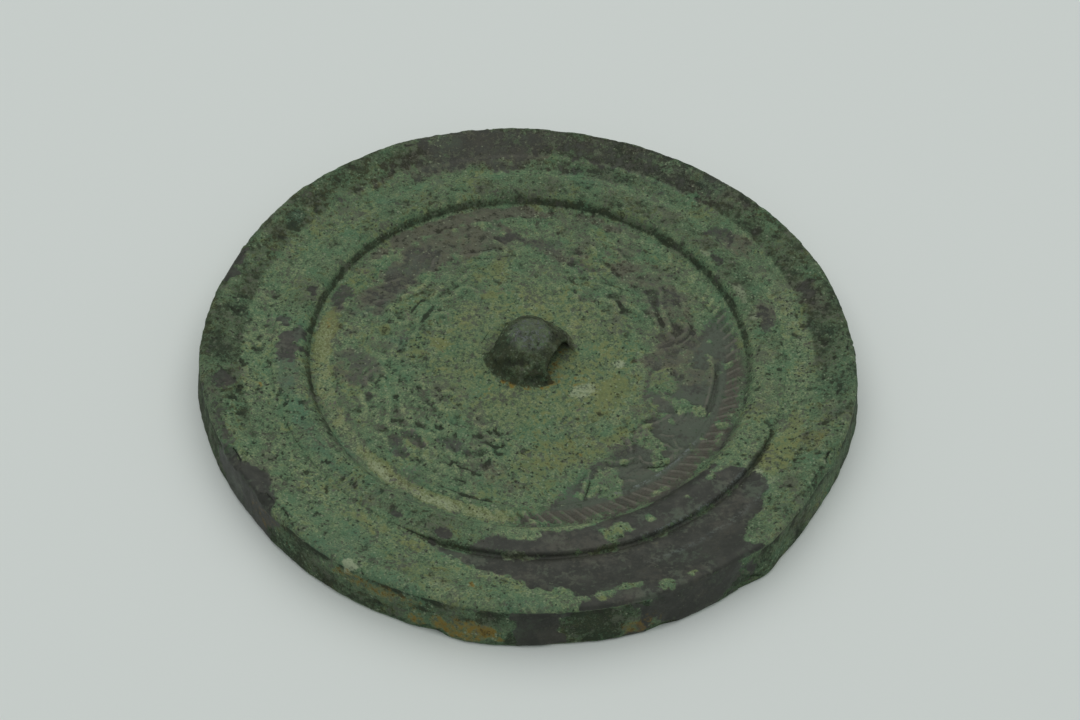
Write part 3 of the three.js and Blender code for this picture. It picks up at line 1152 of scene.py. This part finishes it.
patina = {
    "silt": 0.85,                  # share of the groove's depth that crust fills
    "siltFrom": 0.78,
    "siltTo": 0.812,
    "siltBrim": 0.06,
    "openGroove": (-66, 50, 36),   # where it doesn't: middle, then how far off it ends and is full
    "crustThick": 0.09,
    "grain": 0.07,
    "lump": 0.06,
    "lumpOnBare": 0.35,
    "pitDepth": 0.12,
    "pitOnBare": 0.4,
    "sideWorn": 0.10,
    "sideRough": 0.22,
    "underPit": 0.05,
    "hollowSpan": 0.20,
    "hollowReach": 16,
    "knobHollow": 0.6,
    "boxGap": 0.012,               # kept inside the solid's box
    "flatTo": 0.965,
}
# Where bronze shows
bareSkin = {
    "fieldEdge": 0.05,             # softness of the bare stretch on the field, and of the others
    "otherEdge": 0.012,
    "edgeWobble": 0.06,
    "edgeCrumb": 0.05,
    "patchFrom": (0.5, 1.0),
    "patchLoss": 0.12,             # the patch on the field keeps a little crust, and islands of it
    "islands": 0.75,
    "islandNoise": (0.52, 0.72),
    "crustTorn": 0.8,
    "scatter": 0.4,
    "scatterNoise": (0.66, 0.9),
    "underside": 0.9,
    "undersideNoise": (0.42, 0.6),
    "sideEdge": (1.3, 0.8),
    "sideTorn": 0.7,
}
# How far the inner rim, the middle and the left of the comb are paler and yellower than the rest
lighter = {
    "pale": {"rim": 0.2, "middle": 0.2, "cream": 0.42},
    "olive": {"rim": 0.18, "middle": 0.5, "cream": 0.5},
    "creamTurn": (-140, 54, 46),   # middle, where it starts, where it is full
}
stains = {
    "torn": 0.7,
    "greyTorn": 0.5,
    "teal": 0.7,
    "tealCloud": 0.5,
    "tealNoise": (0.5, 0.8),
}
earth = {
    "footNoise": (0.3, 0.6),
    "sideEdge": (1.3, 0.5),
    "sideTorn": 0.6,
}
# Darkening: painted shade and dirt at the foot of the wall, more on the far side where it faces the camera;
# painted shade in the groove; the side darkened all round
dirtAndShade = {
    "wall": 0.45,
    "farWall": 0.5,                # more on the far side
    "farTurn": (105, 130, 90),
    "groove": 0.34,
    "side": 0.85,
    "sideSpread": 0.5,
    "hidden": 0.75,                # how much of it earth covers
}
# Painted highlights on edges that catch the light: which, how far outside it, softness, amount
paintedHighlights = [
    ("ringLine", 0.0, (0.007, 0.002), 0.8),
    ("bandOuter", 0.0, (0.006, 0.001), 0.6),
    ("crease", 0.002, (0.013, 0.003), 0.3),
]
highlightTurn = (-48, 22, 10)
# Pitted stretches: turn (middle, start, full), from which radius, amount
pittedStretches = [
    ((-158, 36, 26), (0.68, 0.72), 1.0),
    ((-15, 34, 20), (0.79, 0.84), 0.7),
]
pittedLeast = 0.25
pitNoise = (0.70, 0.86)
underPitNoise = (0.62, 0.8)
crustEdge = (0.35, 0.65)          # of the bare layer, over which crust thins out


def readNormals(mesh):
    flat = np.zeros(len(mesh.vertices) * 3)
    mesh.vertices.foreach_get("normal", flat)
    return flat.reshape(-1, 3)


def turnedHeight(radius, c):
    # height of the plain turned profile outside the knob, up to the lip
    rings = profileRings(c)
    start = int(np.argmax(rings[:, 0] > c["knobFlare"] + c["besideKnob"]))
    lip = int(np.argmax(rings[:, 0] > c["lipRadius"] - c["lipRound"]))
    return np.interp(radius, rings[start:lip, 0], rings[start:lip, 1])


def cavity(mesh, level):
    # how far each vertex lies below the average level of the skin around it, in millimetres
    ends = np.zeros(len(mesh.edges) * 2, dtype=np.int64)
    mesh.edges.foreach_get("vertices", ends)
    ends = ends.reshape(-1, 2)
    first = np.concatenate([ends[:, 0], ends[:, 1]])
    second = np.concatenate([ends[:, 1], ends[:, 0]])
    count = np.bincount(first, minlength=len(level)).astype(float)
    average = level.copy()
    for _ in range(patina["hollowReach"]):
        average = np.bincount(first, average[second], len(level)) / count
    return average - level


def readSkin(mesh, c):
    # what every layer of the patina is worked out from
    points = readPoints(mesh)
    normals = readNormals(mesh)
    radiusMm, angle = polar(points)
    radius = radiusMm / c["lipRadius"]
    height = points[:, 2]
    above = height - c["fieldHeight"]
    underside = smooth(*edges["underside"], height)
    outermost = smooth(*edges["sideRadius"], radius)
    side = smooth(*edges["sideFacing"], normals[:, 2]) * outermost * (1 - underside)
    wobble = wobbleSpan * (fractal(points, *blotches["wobble"]) - 0.5)
    medium = fractal(points, *blotches["medium"])
    fine = fractal(points, *blotches["fine"])
    crumb = crumbMix[0] * (medium - 0.5) + crumbMix[1] * (fine - 0.5)

    k = knobSkin
    onKnob = smooth(*k["edge"], radiusMm) * smooth(*k["above"], height)
    # painted shade on the knob's front, the half that faces the camera
    across = (points[:, 0] - k["frontShadeAt"][0]) / k["frontShadeHalf"][0]
    frontShadeGap = np.hypot(across, (above - k["frontShadeAt"][1]) / k["frontShadeHalf"][1]) + wobble * k["frontShadeWobble"]
    depth = np.hypot(radiusMm / c["knobRadius"], above / c["knobHeight"])
    lining = smooth(*tunnelSkin["inside"], depth) * (radiusMm < tunnelSkin["within"])
    return SimpleNamespace(
        points=points, normals=normals, radiusMm=radiusMm, radius=radius, angle=angle, height=height,
        underside=underside, side=side, back=1 - np.maximum(underside, side),
        wobble=wobble, medium=medium, fine=fine, crumb=crumb,
        coarse=fractal(points, *blotches["coarse"]),
        torn=wobble * tornMix[0] + crumb * tornMix[1],
        onKnob=onKnob,
        crown=smooth(*k["crown"], height) * onKnob,
        knobFrontShade=smooth(*k["frontShadeEdge"], frontShadeGap) * onKnob * (points[:, 1] < 0),
        lining=lining,
        tunnelFloor=lining * smooth(*tunnelSkin["floor"], height),
        comb=softBand(radius, *zones["comb"]),
    )


def bareLayer(skin, b):
    # returns where bronze shows, and where the bare patch on the field is
    bare = np.zeros(len(skin.points))
    edge = skin.wobble * b["edgeWobble"] + skin.crumb * b["edgeCrumb"]
    for name, outline in bareStretches.items():
        soft = b["fieldEdge"] if name == "field" else b["otherEdge"]
        bare = np.maximum(bare, stretchMask(skin, outline, edge, soft))
    inPatch = smooth(*b["patchFrom"], bare) * smooth(*edges["insideComb"], skin.radius)
    bare -= inPatch * (b["patchLoss"] + b["islands"] * smooth(*b["islandNoise"], skin.medium))
    bare = np.maximum(bare, spotMask(skin, spots["bare"], skin.torn))
    bare *= 1 - spotMask(skin, spots["crust"], skin.torn * b["crustTorn"])
    scattered = smooth(*b["scatterNoise"], skin.medium) * smooth(*edges["clearOfKnob"], skin.radius)
    bare = np.maximum(bare, scattered * b["scatter"]) * skin.back
    bare = np.maximum(bare, skin.underside * b["underside"] * smooth(*b["undersideNoise"], skin.coarse))
    k = knobSkin
    knobBare = skin.crown * k["crownBare"] + skin.knobFrontShade * k["frontBare"] + skin.crumb * k["crumbBare"]
    bare = np.where(skin.onKnob > 0.5, knobBare, bare)
    for at, half in sideBare:
        gap = np.abs(angleAway(skin.angle, at)) / half + skin.torn * b["sideTorn"]
        bare = np.maximum(bare, skin.side * smooth(*b["sideEdge"], gap))
    return bare, inPatch


def hueLayers(skin):
    # stains in the crust, by name
    zone = {
        "rim": softBand(skin.radius, *zones["innerRim"]) * skin.back,
        "middle": smooth(*edges["middle"], skin.radius),
        "cream": skin.comb * roundTurn(skin, *lighter["creamTurn"]),
    }
    layers = {}
    for name in ("pale", "olive"):
        layers[name] = spotMask(skin, spots[name], skin.torn * stains["torn"])
        for place, amount in lighter[name].items():
            layers[name] = layers[name] + zone[place] * amount
    teal = spotMask(skin, spots["teal"], skin.torn * stains["torn"]) * stains["teal"]
    cloud = smooth(*stains["tealNoise"], fractal(skin.points, *blotches["teal"]))
    layers["teal"] = np.maximum(teal, cloud * stains["tealCloud"])
    layers["grey"] = spotMask(skin, spots["grey"], skin.torn * stains["greyTorn"])
    return layers


def brownLayer(skin):
    brown = np.zeros(len(skin.points))
    for rise, fall, amount in brownComb:
        brown = np.maximum(brown, skin.comb * amount * softBand(skin.angle, rise, fall))
    return brown


def ochreLayer(skin):
    # earth in spots, round the front of the knob's foot, in the tunnel and on the side
    k = knobSkin
    ochre = spotMask(skin, spots["ochre"], skin.torn * stains["torn"])
    foot = smooth(*k["footEdge"], np.abs(skin.radiusMm - k["footRadius"])) * roundTurn(skin, *k["footTurn"])
    ochre = np.maximum(ochre, foot * k["footEarth"] * smooth(*earth["footNoise"], skin.medium))
    ochre = np.maximum(ochre, skin.tunnelFloor * tunnelSkin["earth"])
    for at, half, middle, reach, amount in sideEarth:
        far = np.hypot(angleAway(skin.angle, at) / half, (skin.height - middle) / reach)
        far += skin.torn * earth["sideTorn"]
        ochre = np.maximum(ochre, skin.side * amount * smooth(*earth["sideEdge"], far))
    return ochre


def dirtAndShadeLayer(skin, ochre, openGroove):
    # dirt and painted shade by ring, then darkening over the knob with painted shade on its front, painted
    # shade in the tunnel, painted shade and dirt along the wall, painted shade in the groove, and darkening
    # on the side
    dark = spotMask(skin, spots["dark"], skin.torn * stains["torn"])
    for inner, outer, turn in grimeAndShade.values():
        rise = (inner - grimeAndShadeEdge, inner + grimeAndShadeEdge)
        fall = (outer + grimeAndShadeEdge, outer - grimeAndShadeEdge)
        amount = np.interp(skin.angle, [at for at, _ in turn], [held for _, held in turn])
        dark = np.maximum(dark, softBand(skin.radius, rise, fall) * amount * skin.back)
    k = knobSkin
    # painted shade on the front of the knob
    dark = np.maximum(dark, skin.knobFrontShade * k["frontShadeAmount"])
    # the whole knob darkened, its crown less so
    dark = np.maximum(dark, skin.onKnob * (k["dirtAndShade"] - k["crownLessDark"] * skin.crown))
    # painted shade inside the tunnel, easing on the floor towards the mouth
    t = tunnelSkin
    nearMouth = skin.tunnelFloor * smooth(*t["mouth"], skin.radiusMm)
    dark = np.maximum(dark, t["dirtAndShade"] * skin.lining * (1 - t["mouthFloorLessShade"] * nearMouth))
    # painted shade and dirt at the foot of the wall, more on the far side; painted shade in the groove,
    # strongest where it is open at the front right
    wall = softBand(skin.radius, *zones["wall"])
    dark = np.maximum(dark, wall * (dirtAndShade["wall"] + dirtAndShade["farWall"] * roundTurn(skin, *dirtAndShade["farTurn"])))
    dark = np.maximum(dark, softBand(skin.radius, *zones["groove"]) * (dirtAndShade["groove"] + openGroove))
    dark = np.maximum(dark, skin.side * (dirtAndShade["side"] + dirtAndShade["sideSpread"] * (skin.coarse - 0.5)))
    return np.where(skin.side > 0.3, dark * (1 - dirtAndShade["hidden"] * np.clip(ochre, 0, 1)), dark)


def paintedHighlightLayer(skin, c):
    # painted highlights on edges that catch the light at the front, and on the top of the knob
    glint = np.zeros(len(skin.points))
    for edge, outside, soft, amount in paintedHighlights:
        glint = np.maximum(glint, amount * smooth(*soft, np.abs(skin.radius - c[edge] - outside)))
    return np.maximum(glint * roundTurn(skin, *highlightTurn), skin.crown * knobSkin["crownHighlight"])


def pittedLayer(skin):
    most = spotMask(skin, spots["pitted"], skin.wobble)
    for turn, outward, amount in pittedStretches:
        most = np.maximum(most, roundTurn(skin, *turn) * smooth(*outward, skin.radius) * amount)
    return lerp(pittedLeast, 1, most) * skin.back


def crustRise(skin, bare, pitted, p):
    # how far crust, lumps, pits and wear move the skin outwards
    crust = 1 - smooth(*crustEdge, bare)
    pits = smooth(*pitNoise, fractal(skin.points, *blotches["pits"])) * pitted
    underPits = smooth(*underPitNoise, fractal(skin.points, *blotches["underside"]))
    lumps = p["lump"] * 2 * (skin.medium - 0.5) * lerp(p["lumpOnBare"], 1, crust)
    rise = crust * (p["crustThick"] + p["grain"] * 2 * (skin.fine - 0.5)) + lumps
    rise -= p["pitDepth"] * pits * lerp(p["pitOnBare"], 1, crust)
    rise *= skin.back * (1 - skin.lining)
    knobNoise = fractal(skin.points, *blotches["knob"]) - 0.5
    sideNoise = fractal(skin.points, *blotches["side"]) - 0.5
    rise += skin.onKnob * (1 - skin.lining) * knobSkin["rough"] * knobNoise
    rise -= skin.side * (p["sideWorn"] + p["sideRough"] * sideNoise)
    return rise - skin.underside * p["underPit"] * underPits


def growPatina(mesh, c, p):
    skin = readSkin(mesh, c)
    openGroove = roundTurn(skin, *p["openGroove"])
    bare, inPatch = bareLayer(skin, bareSkin)
    ochre = ochreLayer(skin)
    pitted = pittedLayer(skin)
    rise = crustRise(skin, bare, pitted, p)
    moved = skin.points + skin.normals * rise[:, None]

    # crust fills the groove, except at the front right
    brimHeights = [c["bandHeight"], c["rimFootHeight"] + p["siltBrim"]]
    brim = np.interp(skin.radius, [p["siltFrom"], p["siltTo"]], brimHeights)
    inGroove = (skin.radius > p["siltFrom"]) & (skin.radius < p["siltTo"]) & (skin.back > 0.5)
    filled = np.where(inGroove, np.maximum(brim - skin.height, 0) * p["silt"] * (1 - openGroove), 0)
    moved[:, 2] += filled

    low = np.array(cadBox[0]) / mm + p["boxGap"]
    high = np.array(cadBox[1]) / mm - p["boxGap"]
    low[2] = 0.0
    moved = np.clip(moved, low, high)
    writePoints(mesh, moved)

    onBack = (skin.back > 0.5) & (skin.radius < p["flatTo"])
    flat = onBack & (skin.radiusMm > c["knobFlare"] + c["besideKnob"])
    plain = turnedHeight(skin.radiusMm, c)
    level = np.where(flat, moved[:, 2] - filled - plain, rise * p["knobHollow"])
    layers = {
        "hollow": 0.5 + cavity(mesh, level) / p["hollowSpan"],
        "bare": bare,
        "ochre": ochre,
        "dark": dirtAndShadeLayer(skin, ochre, openGroove),
        "brown": brownLayer(skin),
        "pitted": pitted,
        "glint": paintedHighlightLayer(skin, c),
        "filmed": inPatch,
        **hueLayers(skin),
    }
    for name, values in layers.items():
        writeField(mesh, name, np.clip(values, 0, 1))


# finish
tones = {
    "crustDeep": (0.040, 0.062, 0.036),
    "crustMid": (0.116, 0.177, 0.097),
    "crustLight": (0.300, 0.345, 0.182),
    "emerald": (0.085, 0.178, 0.098),
    "teal": (0.074, 0.160, 0.104),
    "earth": (0.112, 0.104, 0.082),
    "olive": (0.190, 0.200, 0.072),
    "pale": (0.340, 0.390, 0.255),
    "metal": (0.041, 0.043, 0.036),
    "metalLight": (0.086, 0.087, 0.072),
    "metalWorn": (0.150, 0.145, 0.115),
    "film": (0.100, 0.128, 0.090),
    # colour of the painted highlights
    "highlightTone": (0.170, 0.200, 0.190),
    "brown": (0.084, 0.079, 0.061),
    "ochre": (0.230, 0.150, 0.028),
    # colour of dirt, pores and painted shade
    "dirtAndShade": (0.016, 0.018, 0.011),
}


# Noise in the finish: width of a feature, detail, roughness
finishNoise = {
    "grit": (0.22, 3.0, 0.65),
    "sand": (0.60, 3.0, 0.6),
    "cloud": (2.1, 4.0, 0.6),
    "patch": (3.7, 4.0, 0.6),
    "stain": (5.3, 4.0, 0.6),
    "drift": (9.0, 3.0, 0.55),
}
finish = {
    "grainSize": 0.17,
    "poreSize": 0.46,
    "fleckSize": 0.37,
    "crustRoughness": 0.92,
    "bronzeRoughness": 0.52,
    "gritRoughness": 0.25,
    "bronzeMetallic": 0.2,
    "specular": 0.28,
    "bumpStrength": 0.6,
    "bumpHeight": 0.08,
}


def crustColour(s, n):
    # an even green with fine grain, then slow changes of hue, then the stains of the skin's layers
    body = n.grit * 1.6 + n.sand * 1.6 + n.cloud * 0.9 + n.drift * 0.4
    # darker in hollows and paler on ridges: partly patina and dirt, partly painted shade
    body = body + (n.grain - 0.5) * 0.4 - n.hollow * 0.6
    green = s.mix(tones["crustDeep"], tones["crustMid"], s.step(body, -0.6, 0.05))
    green = s.mix(green, tones["crustLight"], s.step(body, 0.0, 0.7))
    green = s.mix(green, tones["emerald"], s.step(n.patch + n.sand * 0.7, 0.0, 0.17) * 0.5)
    green = s.mix(green, tones["earth"], s.step(n.patch + n.sand * 0.9 + n.grit * 0.5, -0.03, -0.2) * 0.55)
    green = s.mix(green, tones["olive"], s.step(n.stain + n.sand * 1.0, 0.04, 0.24) * 0.5)
    drab = s.step(s.field("grey") + n.cloud * 1.6 + n.sand * 1.4, 0.25, 0.85)
    green = s.mix(green, tones["earth"], drab * 0.8)
    bluish = s.step(s.field("teal") + n.cloud * 1.6 + n.sand * 1.2, 0.3, 0.95)
    green = s.mix(green, tones["teal"], bluish * 0.6)
    green = s.mix(green, tones["olive"], s.step(s.field("olive") + n.sand * 1.8 + n.grit, 0.25, 1.0) * 0.6)
    return s.mix(green, tones["pale"], s.step(s.field("pale") + n.grit * 1.6 + n.sand, 0.3, 1.05) * 0.8)


def bronzeColour(s, n):
    # dark, under a thin mottled film, paler where it is rubbed
    rubbed = s.step(n.hollow, -0.06, -0.42)
    metal = s.mix(tones["metal"], tones["metalLight"], s.step(n.cloud * 0.9 + n.grit * 0.3, -0.1, 0.22) * 0.7)
    filmed = s.step(n.patch + n.sand * 0.8 + s.field("filmed") * 0.22, 0.0, 0.22)
    metal = s.mix(metal, tones["film"], filmed * 0.62)
    metal = s.mix(metal, tones["earth"], s.step(n.stain + n.sand * 0.7, 0.0, 0.2) * 0.4)
    metal = s.mix(metal, tones["brown"], s.field("brown") * s.step(n.sand, -0.25, 0.05))
    return s.mix(metal, tones["metalWorn"], rubbed * s.step(n.grit + n.sand * 0.5, -0.2, 0.1) * 0.65)


def makePatina(look):
    material = bpy.data.materials.new("patinatedBronze")
    material.use_nodes = True
    tree = material.node_tree
    tree.nodes.clear()
    s = Sheet(tree)
    where = s.out(s.add("ShaderNodeTexCoord"), "Object")
    n = SimpleNamespace(**{name: s.noise(where, *shape) for name, shape in finishNoise.items()})
    n.grain, _ = s.cells(where, look["grainSize"])
    n.hollow = s.field("hollow") - 0.5          # above 0 in hollows, below 0 on ridges
    poreChance, poreGap = s.cells(where, look["poreSize"])
    fleckChance, fleckGap = s.cells(where, look["fleckSize"])

    ragged = n.grit * 1.0 + n.sand * 1.7 + n.cloud * 0.9 + (n.grain - 0.5) * 0.25
    bare = s.step(s.field("bare") + ragged, 0.34, 0.72)
    colour = s.mix(crustColour(s, n), bronzeColour(s, n), bare)

    # earth, dirt and painted shade, pores, pale flecks and painted highlights on edges
    colour = s.mix(colour, tones["ochre"], s.step(s.field("ochre") + n.sand * 1.9 + n.cloud, 0.4, 1.05) * 0.9)
    # sunk adds dirt and painted shade in hollows
    sunk = s.step(n.hollow, 0.04, 0.45)
    soilAndShade = s.step(s.field("dark") + n.sand * 1.8 + n.grit * 1.5 + n.cloud * 1.6 + sunk * 0.7, 0.53, 1.15)
    colour = s.mix(colour, tones["dirtAndShade"], soilAndShade * (1 - bare * 0.5) * 0.82)
    poreHere = s.step(poreChance + s.field("pitted") * 0.4 + n.stain * 1.4, 0.9, 1.0)
    pore = poreHere * s.step(poreGap + n.grit * 1.3 + n.sand, 0.4, 0.12) * (1 - bare * 0.8)
    colour = s.mix(colour, tones["dirtAndShade"], pore * 0.75)
    fleckHere = s.step(fleckChance + n.patch * 1.2, 0.82, 0.92)
    fleck = fleckHere * s.step(fleckGap + n.grit * 1.2 + n.sand, 0.42, 0.14)
    colour = s.mix(colour, tones["pale"], fleck * (1 - bare) * (1 - soilAndShade) * 0.45)
    # painted highlight: a pale steel tone on edges and on the knob's top
    colour = s.mix(colour, tones["highlightTone"], s.field("glint") * s.step(n.grit + n.sand, -0.05, 0.16))

    relief = (n.grit * 0.6 + n.sand * 0.4 - pore * 0.5) * (1 - bare * 0.8)
    bump = s.add("ShaderNodeBump", None, {
        "Strength": look["bumpStrength"],
        "Distance": look["bumpHeight"] * mm,
        "Height": relief,
    })
    roughness = s.step(bare, 0.0, 1.0, look["crustRoughness"], look["bronzeRoughness"])
    shader = s.add("ShaderNodeBsdfPrincipled", None, {
        "Base Color": colour,
        "Roughness": roughness + n.grit * look["gritRoughness"],
        "Metallic": bare * look["bronzeMetallic"],
        "Specular IOR Level": look["specular"],
        "Normal": bump.outputs[0],
    })
    s.add("ShaderNodeOutputMaterial", None, {"Surface": shader.outputs[0]})
    return material


patinaMaterial = makePatina(finish)


def keptRelief(points, c):
    # how much of its height the relief keeps at each place, and none off the field
    radius, angle = polar(points)
    inField = (radius > c["knobFlare"] + wear["fromKnob"]) & (radius < share(c["bandInner"]))
    inField &= points[:, 2] > wear["above"]
    least, added, most = wear["ragged"]
    ragged = np.clip(least + added * fractal(points, *wear["raggedNoise"]), 0, most)
    ragged = lerp(ragged, 1, smooth(wear["crispFrom"], 1, survival(angle, 0)) * wear["crispEven"])
    onComb = radius > share(c["ringLine"]) + c["ringLineHalf"]
    survived = survival(angle, np.where(onComb, wear["wornComb"], wear["wornShare"]))
    return np.where(inField, survived * ragged, 0)


def makeCasting(c):
    blank = turnedBlank(c)
    piece = bpy.data.objects.new("mirror_casting", blank)
    bpy.context.scene.collection.objects.link(piece)
    shapeOutline(blank, c)
    writeField(blank, "kept", keptRelief(readPoints(blank), c))
    print("blank turned", len(blank.vertices), "vertices")

    runTree(piece, makeCombTree(), {
        "Stroke Count": float(c["combCount"]),
        "Inner Radius": share(c["combInner"]) * mm,
        "Outer Radius": (share(c["combOuter"]) - c["combEnd"]) * mm,
        "End Before": c["strokeFade"][0] * mm,
        "End After": c["strokeFade"][1] * mm,
        "Lean": math.radians(c["combLean"]),
        "Height": c["combHeight"] * mm,
        "Half Width": c["combHalfWidth"] * mm,
        "Material": patinaMaterial,
    })
    reliefTree = makeReliefTree()
    for name, paths, look in (
        ("beastDrawing", beastPaths(), beast),
        ("hatchDrawing", hatchPaths(), hatching),
        ("ridgeDrawing", linePaths(ridges), ridges),
        ("hairDrawing", hairPaths(), hair),
        ("grooveDrawing", linePaths(grooves), grooves),
    ):
        drawing = wireDrawing(name, paths)
        runTree(piece, reliefTree, {
            "Drawing": drawing,
            "Height": look["height"] * mm,
            "Half Width": look["halfWidth"] * mm,
            "Material": patinaMaterial,
        })
        bpy.data.objects.remove(drawing)
    print("relief raised")

    cutter = tunnelCutter(tunnel, c)
    cutTunnel(piece, cutter)
    bpy.data.objects.remove(cutter)
    print("tunnel cut", sum(len(face.vertices) - 2 for face in piece.data.polygons), "triangles")

    growPatina(piece.data, c, patina)
    for polygon in piece.data.polygons:
        polygon.use_smooth = True
    print("patina grown")
    return piece


mirrorCasting = makeCasting(casting)
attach(mirrorCasting, "root")
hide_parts("bronze_mirror")
